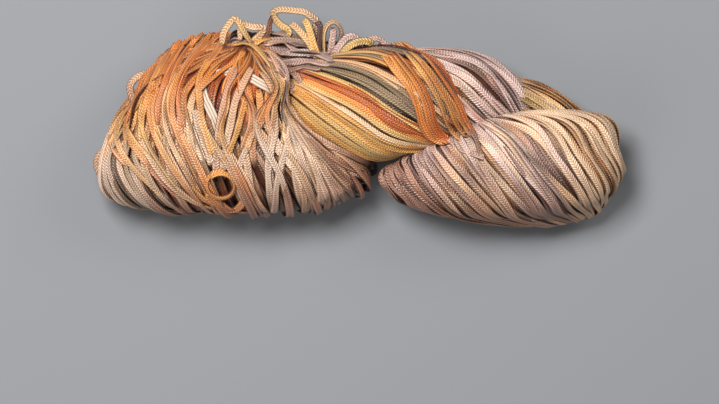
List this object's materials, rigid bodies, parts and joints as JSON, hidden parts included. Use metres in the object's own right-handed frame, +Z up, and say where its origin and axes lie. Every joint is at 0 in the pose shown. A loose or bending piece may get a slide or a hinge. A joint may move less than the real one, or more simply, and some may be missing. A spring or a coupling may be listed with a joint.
{
  "type": "twisted skein of viscose tape yarn",
  "caption": "Soft twisted hank of knitted viscose tape yarn lying flat, with fat lobes of parallel tapes, springy loose loops and a pale cord tie inside.",
  "frame": {"origin": "middle of the skein's bounding box, on the surface that it rests on", "axes": "+X along the skein from the crown fan to the scallop, +Y to the back where the loose loops are, +Z up"},
  "size_m": [0.2667, 0.1087, 0.068],
  "materials": {
    "yarn": "lustrous knitted viscose tape, hand dyed from orange and gold through beige to mauve",
    "tie": "smooth cream cotton cord"
  },
  "bodies": {
    "root": {"hank": "yarn", "tie": "tie"}
  },
  "joints": []
}
